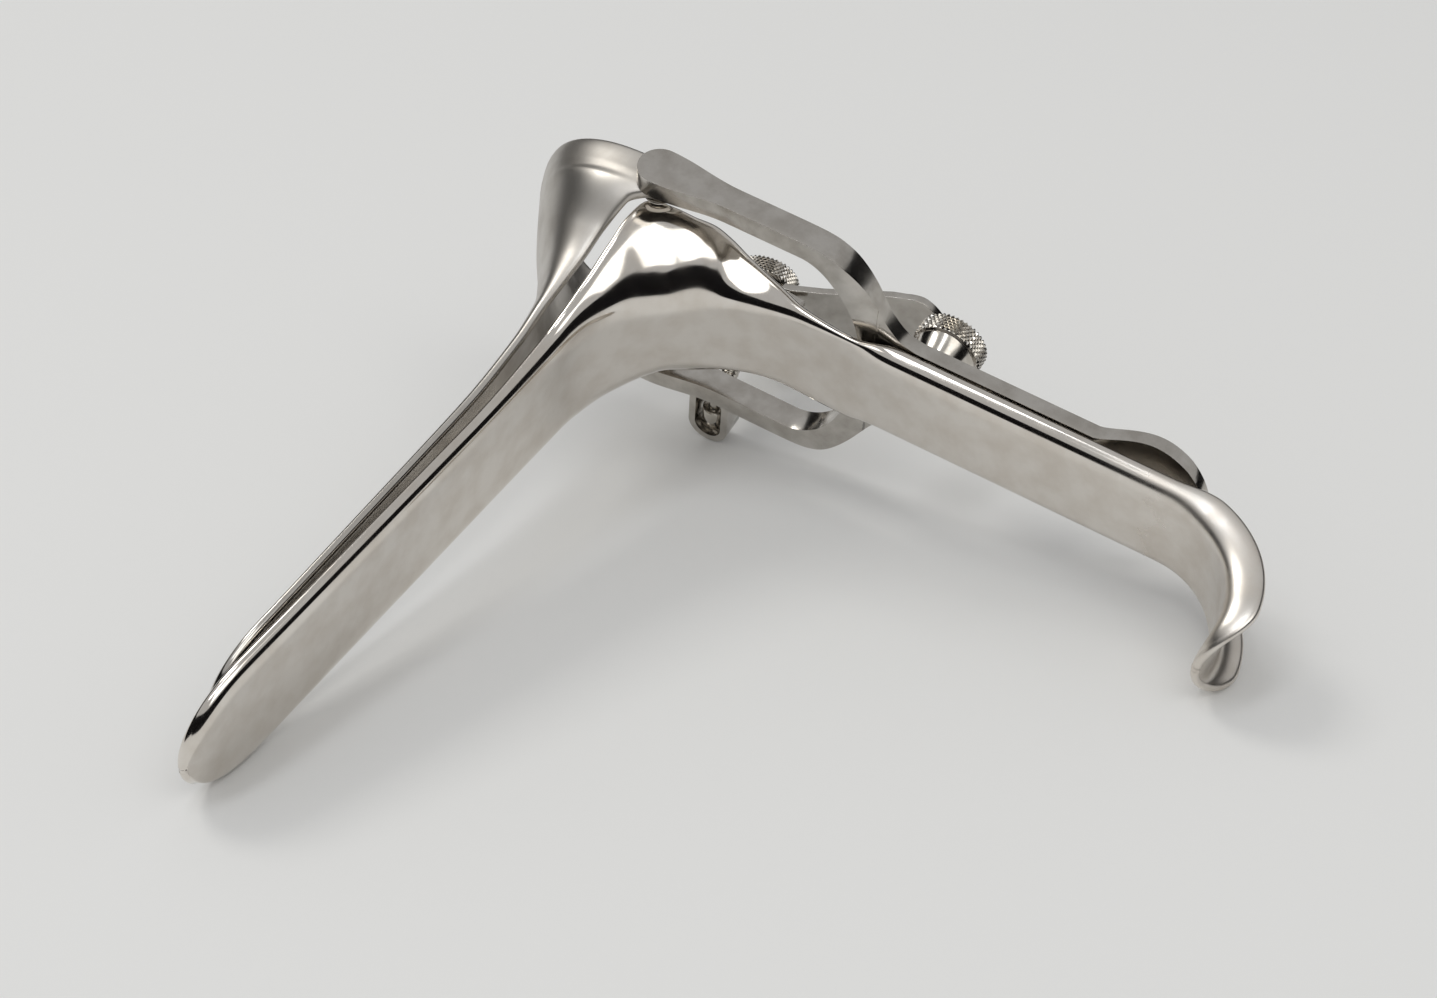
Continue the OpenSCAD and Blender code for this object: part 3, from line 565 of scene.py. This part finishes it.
def frontOutline():
    half, slideHalf = yoke["half"], yoke["slideWidth"] / 2
    far = -upper["pivotUp"] - yoke["endRadius"] - 1
    edge = [(far, half), (-6, half)] + spline(
        [(-4, half), (-1, half - 0.05), (1.2, half - 0.22), (3.2, half - 0.7), (5.6, half - 1.9),
         (7.6, half - 3.7), (9.4, half - 6), (11, half - 8.6), (12.6, half - 11.3),
         (14.2, slideHalf + 2.1), (16, slideHalf + 0.7),
         (18.5, slideHalf)], 5)
    corner = yoke["tabCorner"]
    end = yoke["tabStart"] + yoke["tabLength"]
    edge += [(end - corner * (1 - math.sin(math.radians(a))),
              slideHalf - corner * (1 - math.cos(math.radians(a)))) for a in steps(0, 90, 16)]
    inner = [(yoke["crotch"] * 0.96 * math.sin(a) - 2 * math.cos(a), armIn * max(0, math.cos(a)) ** 0.75)
             for a in (math.radians(d) for d in steps(0, 90, 44))]
    inner[-1] = (yoke["crotch"] * 0.96, 0.0)
    edge = [tuple(p) for p in edge]
    return edge + [(u, -z) for u, z in edge[::-1]] + [(far, -armIn)] + [(u, -z) for u, z in inner] \
        + inner[::-1][1:] + [(far, armIn)]


def slotOutline():
    w = stud["radius"] + 0.3
    low, high = stud["down"] + yoke["travel"], stud["down"]
    return [(low + w * math.sin(a), w * math.cos(a)) for a in steps(0, math.pi, 24)] \
        + [(high - w * math.sin(a), -w * math.cos(a)) for a in steps(0, math.pi, 24)]


def prism(name, outline, place, low, high, material):
    # straight block over an outline; place(point, height) gives the spot in the drawing
    count = len(outline)
    verts = [place(p, h) for h in (low, high) for p in outline]
    faces = [(i, (i + 1) % count, count + (i + 1) % count, count + i) for i in range(count)]
    faces += [tuple(range(count)), tuple(range(2 * count - 1, count - 1, -1))]
    return reworked(meshPiece(name, verts, faces, material, smooth=False), faceOut)


def onHandle(u, v, z):
    p = bendEnd + downHandle * u + backHandle * v
    return Vector((p.x, p.y, z))


def cut(piece, tool, operation):
    modifier = piece.modifiers.new("Cut", "BOOLEAN")
    modifier.operation = operation
    modifier.object = tool
    modifier.solver = "EXACT"
    settle(piece)
    bpy.data.objects.remove(tool)
    return piece


def joinFlats(piece, near):
    # a flat that came as many triangles becomes one face again
    def work(shape):
        bmesh.ops.remove_doubles(shape, verts=shape.verts, dist=near)
        bmesh.ops.dissolve_limit(shape, angle_limit=math.radians(0.4), verts=shape.verts, edges=shape.edges)

    return reworked(piece, work)


def breakEdges(piece, width, segments=3, degrees=28):
    # every edge sharper than that many degrees gets a small round
    return settle(piece, [("BEVEL", {"width": width, "segments": segments, "limit_method": "ANGLE",
                                     "angle_limit": math.radians(degrees)})])


def layDown(piece, matrix=layMatrix):
    piece.data.transform(matrix)
    piece.data.update()
    return piece


def smoothTo(piece, degrees):
    # smooth, but for the edges sharper than that many degrees
    piece.data.shade_smooth()

    def work(shape):
        for edge in shape.edges:
            edge.smooth = len(edge.link_faces) != 2 or edge.calc_face_angle(0) < math.radians(degrees)
        bmesh.ops.triangulate(shape, faces=[f for f in shape.faces if len(f.verts) > 4])

    return reworked(piece, work)


def frameYoke():
    body = prism("yokeBar", sideProfile(), lambda p, h: onHandle(p[0], p[1], h), -30, 30, yokeSteel)
    plan = prism("yokePlan", frontOutline(), lambda p, h: onHandle(p[0], h, p[1]), -20, 30, yokeSteel)
    slotTool = prism("yokeSlot", slotOutline(), lambda p, h: onHandle(p[0], h, p[1]), -20, 30, yokeSteel)
    cut(body, plan, "INTERSECT")
    cut(body, slotTool, "DIFFERENCE")
    return smoothTo(layDown(breakEdges(joinFlats(body, 0.002), yoke["edge"])), 40)


dress(frameYoke(), "frame", "yoke_steel", "frame_yoke")
print("yoke made")


def fromSolid(node, name, body, slotName, material, width, shorten=0.0):
    # the solid's own shape with its edges broken and the finish put on
    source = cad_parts[node]
    piece = bpy.data.objects.new(name, source.data.copy())
    bpy.context.scene.collection.objects.link(piece)
    piece.data.materials.clear()
    piece.data.materials.append(material)
    piece.data.transform(source.matrix_world)
    joinFlats(piece, 0.000003)
    if shorten:
        # the riveted end is dressed flush and can't be told from the arm, so it ends just under its face
        toDrawing = layMatrix.inverted()
        for vertex in piece.data.vertices:
            p = toDrawing @ vertex.co
            if p.z > yoke["half"] - 0.01:
                p.z = yoke["half"] - shorten
                vertex.co = layMatrix @ p
    smoothTo(breakEdges(piece, width / 1000), 40)
    dress(piece, body, slotName, node)


fromSolid("thumb_lever", "thumbLever", "upper", "lever_steel", yokeSteel, 0.3)
fromSolid("rod_loop", "rodLoop", "frame", "loop_steel", yokeSteel, 0.35)
fromSolid("rod_pin", "rodPin", "frame", "pin_steel", turnedSteel, 0.15)
fromSolid("pivot_pins", "pivotPins", "frame", "pin_steel", turnedSteel, 0.2, shorten=0.5)
fromSolid("lock_washer", "lockWasher", "handle", "pin_steel", turnedSteel, 0.15)
print("lever, loop, pins and washer finished")


def newTree(name, sizes):
    tree = bpy.data.node_groups.new(name, "GeometryNodeTree")
    tree.interface.new_socket("Body", in_out="INPUT", socket_type="NodeSocketGeometry")
    for key, value in sizes.items():
        kind = "NodeSocketInt" if isinstance(value, int) else "NodeSocketFloat"
        tree.interface.new_socket(key, in_out="INPUT", socket_type=kind)
    tree.interface.new_socket("Result", in_out="OUTPUT", socket_type="NodeSocketGeometry")
    return tree, tree.nodes.new("NodeGroupInput"), tree.nodes.new("NodeGroupOutput")


def runTree(piece, tree, sizes):
    modifier = piece.modifiers.new("Nodes", "NODES")
    modifier.node_group = tree
    for item in tree.interface.items_tree:
        if item.in_out == "INPUT" and item.name in sizes:
            modifier[item.identifier] = sizes[item.name]
    return settle(piece)


def reckoner(tree):
    # gives the tree its own function for sums on sockets and numbers
    def calc(operation, a, b=0.0):
        return add(tree, "ShaderNodeMath", {0: a, 1: b}, operation=operation).outputs[0]

    return calc


def endTree(tree, given, result, part, material):
    # the new part joins the body, is made real and coated
    joined = add(tree, "GeometryNodeJoinGeometry")
    for geometry in (part, given.outputs["Body"]):
        tree.links.new(geometry, joined.inputs[0])
    real = add(tree, "GeometryNodeRealizeInstances", {0: joined.outputs[0]})
    coated = add(tree, "GeometryNodeSetMaterial", {"Geometry": real.outputs[0], "Material": material})
    tree.links.new(coated.outputs[0], result.inputs[0])
    return tree


def knurlTree(sizes, material):
    # staggered rows of small four-sided studs round a rim, points outwards
    tree, given, result = newTree("diamondKnurl", sizes)
    size = given.outputs
    calc = reckoner(tree)
    total = calc("MULTIPLY", size["Studs Round"], size["Rows"])
    points = add(tree, "GeometryNodePoints", {"Count": total})
    index = add(tree, "GeometryNodeInputIndex").outputs[0]
    row = calc("FLOOR", calc("DIVIDE", calc("ADD", index, 0.5), size["Studs Round"]))
    odd = calc("MODULO", row, 2.0)
    step = calc("DIVIDE", 2 * math.pi, size["Studs Round"])
    angle = calc("MULTIPLY", calc("ADD", index, calc("MULTIPLY", odd, 0.5)), step)
    across = calc("DIVIDE", size["Rim Height"], calc("ADD", size["Rows"], 1.0))
    height = calc("ADD", size["Rim Start"], calc("MULTIPLY", calc("ADD", row, 1.0), across))
    x = calc("MULTIPLY", size["Rim Radius"], calc("COSINE", angle))
    y = calc("MULTIPLY", size["Rim Radius"], calc("SINE", angle))
    spot = add(tree, "ShaderNodeCombineXYZ", {"X": x, "Y": y, "Z": height})
    placed = add(tree, "GeometryNodeSetPosition", {"Geometry": points.outputs[0],
                                                   "Position": spot.outputs[0]})
    oneStud = add(tree, "GeometryNodeMeshCone", {"Vertices": 4, "Side Segments": 1, "Radius Top": 0.22,
                                               "Radius Bottom": 1.0, "Depth": 1.0})
    turn = add(tree, "ShaderNodeCombineXYZ", {"X": 0.0, "Y": math.pi / 2, "Z": angle})
    turned = add(tree, "FunctionNodeEulerToRotation", {0: turn.outputs[0]})
    wide = calc("MULTIPLY", calc("MULTIPLY", step, size["Rim Radius"]), 0.5)
    scale = add(tree, "ShaderNodeCombineXYZ", {"X": across, "Y": wide, "Z": size["Stud Height"]})
    studs = add(tree, "GeometryNodeInstanceOnPoints",
                {"Points": placed.outputs[0], "Instance": oneStud.outputs["Mesh"],
                 "Rotation": turned.outputs[0], "Scale": scale.outputs[0]})
    return endTree(tree, given, result, studs.outputs[0], material)


def lathe(name, profile, count, material):
    # closed profile of (radius, height) turned round the z axis
    verts = [(r * math.cos(2 * math.pi * i / count), r * math.sin(2 * math.pi * i / count), h)
             for i in range(count) for r, h in profile]
    m = len(profile)
    faces = [(i * m + j, ((i + 1) % count) * m + j, ((i + 1) % count) * m + (j + 1) % m, i * m + (j + 1) % m)
             for i in range(count) for j in range(m)]
    return reworked(meshPiece(name, verts, faces, material), faceOut)


def axisMatrix(origin, along):
    # turns z to the given direction of the drawing and moves to origin
    z = Vector(along).normalized()
    x = z.orthogonal().normalized()
    y = z.cross(x)
    turn = Matrix((x, y, z)).transposed().to_4x4()
    return layMatrix @ Matrix.Translation(Vector(origin)) @ turn


rod = {"radius": 1.6, "reach": 24.5, "drop": 12, "z": -29.4, "degrees": 17.8, "lever": 1.4, "pitch": 0.8,
       "depth": 0.24, "foot": 1.3, "nutGap": 0.15, "over": 1}
nut = {"radius": 5.9, "thick": 3.5, "rows": 6, "round": 44, "stud": 0.32, "collar": 1.6}
rodPinSpot = bendEnd - downHandle * (upper["pivotUp"] - rod["drop"]) \
    + backHandle * (backFace - yoke["armDepth"] / 2)
rodWay = Vector((math.cos(math.radians(rod["degrees"])), math.sin(math.radians(rod["degrees"])), 0))
rodOrigin = Vector((rodPinSpot.x, rodPinSpot.y, rod["z"]))

knurlSizes = {"Rim Radius": nut["radius"] - 0.3, "Rim Start": 0.0, "Rim Height": nut["thick"],
              "Rows": nut["rows"], "Studs Round": nut["round"], "Stud Height": nut["stud"]}
knurls = knurlTree(knurlSizes, turnedSteel)


def knurledNut(name, profile, start, bevel, matrix):
    piece = lathe(name, profile, 96, turnedSteel)
    breakEdges(piece, bevel, 2, 25)
    runTree(piece, knurls, {**knurlSizes, "Rim Start": start})
    smoothTo(piece, 30)
    return layDown(piece, matrix)


r0 = nut["radius"] - 0.3
t0 = nut["thick"]
c0 = nut["collar"]
thumbProfile = [(rod["radius"] + 0.05, 0), (3.7, 0), (4, c0), (r0 - 0.5, c0), (r0, c0 + 0.5),
                (r0, c0 - 0.5 + t0), (r0 - 0.5, c0 + t0), (3, c0 + 0.7 + t0),
                (rod["radius"] + 0.05, c0 + 0.7 + t0)]
thumbNut = knurledNut("thumbNut", thumbProfile, 1.75, 0.12,
                      axisMatrix(rodOrigin + rodWay * (rod["reach"] + rod["lever"] + rod["nutGap"]), rodWay))
dress(thumbNut, "nut", "nut_steel", "thumb_nut")

lockProfile = [(stud["radius"] + 0.05, 0), (3.6, 0), (3.8, 1.2), (4.7, 4.2), (r0 - 0.5, 5.8), (r0, 6.1),
               (r0, 5.4 + t0), (r0 - 0.6, 6 + t0), (3, 6.6 + t0), (stud["radius"] + 0.05, 6.6 + t0)]
backWay = Vector((backHandle.x, backHandle.y, 0))
lockNut = knurledNut("lockNut", lockProfile, 5.9, 0.15,
                     axisMatrix(onHandle(stud["down"], backFace + stud["nutSeat"], 0), backWay))
dress(lockNut, "locknut", "nut_steel", "lock_nut")
print("knurled nuts made")


def threadTree(sizes, material):
    # a rolled-up grid whose radius follows a helix; both ends are drawn in to a chamfer
    tree, given, result = newTree("cutThread", sizes)
    size = given.outputs
    calc = reckoner(tree)
    grid = add(tree, "GeometryNodeMeshGrid", {"Size X": 1.0, "Size Y": 1.0, "Vertices X": size["Steps Round"],
                                              "Vertices Y": size["Steps Along"]})
    at = add(tree, "ShaderNodeSeparateXYZ", {0: add(tree, "GeometryNodeInputPosition").outputs[0]}).outputs
    angle = calc("MULTIPLY", at["X"], 2 * math.pi)
    height = calc("MULTIPLY", calc("ADD", at["Y"], 0.5), size["Length"])
    turns = calc("SUBTRACT", calc("DIVIDE", height, size["Pitch"]), at["X"])
    wave = calc("PINGPONG", turns, 0.5)
    groove = calc("MULTIPLY", calc("MULTIPLY", wave, 2.0), size["Depth"])
    started = calc("GREATER_THAN", height, size["Thread Start"])
    fromEnd = calc("SUBTRACT", size["Length"], height)
    chamfer = calc("MAXIMUM", calc("SUBTRACT", size["Chamfer"], fromEnd), 0.0)
    radius = calc("SUBTRACT", calc("SUBTRACT", size["Radius"], calc("MULTIPLY", groove, started)), chamfer)
    # the first and last rows close on the axis
    inside = calc("MULTIPLY", calc("LESS_THAN", height, calc("SUBTRACT", size["Length"], 0.0001)),
                  calc("GREATER_THAN", height, 0.0001))
    closed = calc("MULTIPLY", radius, inside)
    x = calc("MULTIPLY", closed, calc("COSINE", angle))
    y = calc("MULTIPLY", closed, calc("SINE", angle))
    spot = add(tree, "ShaderNodeCombineXYZ", {"X": x, "Y": y, "Z": height})
    moved = add(tree, "GeometryNodeSetPosition", {"Geometry": grid.outputs["Mesh"],
                                                  "Position": spot.outputs[0]})
    welded = add(tree, "GeometryNodeMergeByDistance", {"Geometry": moved.outputs[0], "Distance": 0.0005})
    return endTree(tree, given, result, welded.outputs[0], material)


threadSizes = {"Radius": rod["radius"], "Length": 31.0, "Pitch": rod["pitch"], "Depth": rod["depth"],
               "Thread Start": 6.0, "Chamfer": 0.4, "Steps Round": 41, "Steps Along": 340}
threads = threadTree(threadSizes, turnedSteel)


def threaded(piece, sizes, matrix):
    runTree(piece, threads, {**threadSizes, **sizes})
    return layDown(smoothTo(reworked(piece, faceOut), 50), matrix)


eyeProfile = [(1.06, -1.6), (1.8, -1.6), (1.95, -1.45), (1.95, 1.45), (1.8, 1.6), (1.06, 1.6)]
eye = lathe("adjustingRod", eyeProfile, 48, turnedSteel)
# the eye of the rod turns round its pin, so its axis is square to the thread
eye.data.transform(Matrix.Rotation(math.pi / 2, 4, "X"))
rodFrame = axisMatrix(rodOrigin, rodWay)
zAxis = rodFrame.to_3x3().inverted() @ (layMatrix.to_3x3() @ Vector((0, 0, 1)))
eye.data.transform(Matrix.Rotation(math.atan2(zAxis.y, zAxis.x) - math.pi / 2, 4, "Z"))
# the shank starts outside the eye's hole, so it stays clear of the pin
eye.data.transform(Matrix.Translation((0, 0, -rod["foot"])))
rodLength = rod["reach"] + rod["lever"] + rod["nutGap"] + nut["collar"] + nut["thick"] + rod["over"] \
    - rod["foot"]
rodPiece = threaded(eye, {"Length": rodLength, "Thread Start": threadSizes["Thread Start"] - rod["foot"]},
                    axisMatrix(rodOrigin + rodWay * rod["foot"], rodWay))
dress(rodPiece, "rod", "rod_steel", "adjusting_rod")

base = lathe("lockStud", [(0.01, 0), (2.3, 0), (2.3, 0.3), (0.01, 0.3)], 48, turnedSteel)
studLength = backFace + stud["above"] - sheet["thick"]
studPiece = threaded(base, {"Radius": stud["radius"], "Length": studLength, "Pitch": stud["pitch"],
                            "Depth": stud["depth"], "Thread Start": 3.2, "Steps Along": 160},
                     axisMatrix(onHandle(stud["down"], sheet["thick"], 0), backWay))
dress(studPiece, "handle", "rod_steel", "lock_stud")
print("threads made")


room = {"table": "#EAEAE9", "far": 5.0, "wallFrom": 0.06, "wallTo": 2.1, "wallDark": "#15130F",
        "wallRadius": 3.2, "wallSides": 64, "sky": "#EAEAEA", "skyStrength": 0.6}


def plainMaterial(name, colour, rough):
    material = bpy.data.materials.new(name)
    material.use_nodes = True
    tree = material.node_tree
    shader = tree.nodes["Principled BSDF"]
    place = add(tree, "ShaderNodeTexCoord")
    cloud = add(tree, "ShaderNodeTexNoise", {"Vector": place.outputs["Object"], "Scale": 3.0, "Detail": 2.0})
    mix = add(tree, "ShaderNodeMix", {"Factor": cloud.outputs["Fac"], "A": linear(colour[0]),
                                      "B": linear(colour[1])}, data_type="RGBA")
    tree.links.new(mix.outputs["Result"], shader.inputs["Base Color"])
    shader.inputs["Roughness"].default_value = rough
    shader.inputs["Specular IOR Level"].default_value = 0.2
    return material


table = meshPiece("table", [(-room["far"], -room["far"], 0), (room["far"], -room["far"], 0),
                            (room["far"], room["far"], 0), (-room["far"], room["far"], 0)], [(0, 1, 2, 3)],
                  plainMaterial("mattPaperTable", (room["table"], "#E7E7E6"), 0.85), smooth=False)

# low dark walls of the room, seen only in the steel
ringCount = room["wallSides"]
wallVerts = [(room["wallRadius"] * math.cos(2 * math.pi * i / ringCount),
              room["wallRadius"] * math.sin(2 * math.pi * i / ringCount), z)
             for z in (room["wallFrom"], room["wallTo"]) for i in range(ringCount)]
wallFaces = [(i, (i + 1) % ringCount, ringCount + (i + 1) % ringCount, ringCount + i)
             for i in range(ringCount)]
walls = meshPiece("roomWalls", wallVerts, wallFaces,
                  plainMaterial("darkRoomWall", (room["wallDark"], "#1B1A20"), 0.9))
walls.visible_camera = False
walls.visible_diffuse = False
walls.visible_shadow = False

world = bpy.data.worlds.new("softRoom")
bpy.context.scene.world = world
world.use_nodes = True
sky = world.node_tree.nodes["Background"]
sky.inputs["Color"].default_value = linear(room["sky"])
sky.inputs["Strength"].default_value = room["skyStrength"]


def lamp(name, place, size, power, colour):
    light = bpy.data.lights.new(name, "AREA")
    light.shape = "RECTANGLE"
    light.size, light.size_y = size
    light.energy = power
    light.color = linear(colour)[:3]
    holder = bpy.data.objects.new(name, light)
    bpy.context.scene.collection.objects.link(holder)
    holder.location = place
    holder.rotation_euler = (lampAim - Vector(place)).to_track_quat("-Z", "Y").to_euler()


lampAim = Vector((0, 0, 0.02))
lamp("frontPanel", (-0.36, -0.64, 1.08), (1.0, 0.62), 2.9, "#FFFEFA")
lamp("backPanel", (0.0, 0.98, 1.25), (0.5, 0.5), 4.4, "#FFFDF8")
lamp("ceilingStrip", (-0.5, 0.1, 1.5), (0.25, 1.0), 3.2, "#F8FBFF")


def photoCamera():
    # the photograph's own view: from the left, well above the table
    place = Vector((-0.28368, -0.20442, 0.27097))
    right = Vector((0.594638, -0.803983, -0.004169))
    upward = Vector((0.462125, 0.337542, 0.820064))
    behind = Vector((-0.65791, -0.489568, 0.572256))
    data = bpy.data.cameras.new("photoCamera")
    data.sensor_width = 36
    data.lens = 72.148
    data.clip_start = 0.01
    holder = bpy.data.objects.new("photoCamera", data)
    bpy.context.scene.collection.objects.link(holder)
    turn = Matrix((right, upward, behind)).transposed().to_4x4()
    holder.matrix_world = Matrix.Translation(place) @ turn
    bpy.context.scene.camera = holder


photoCamera()
bpy.context.scene.view_settings.view_transform = "Standard"
print("table, light and camera set")
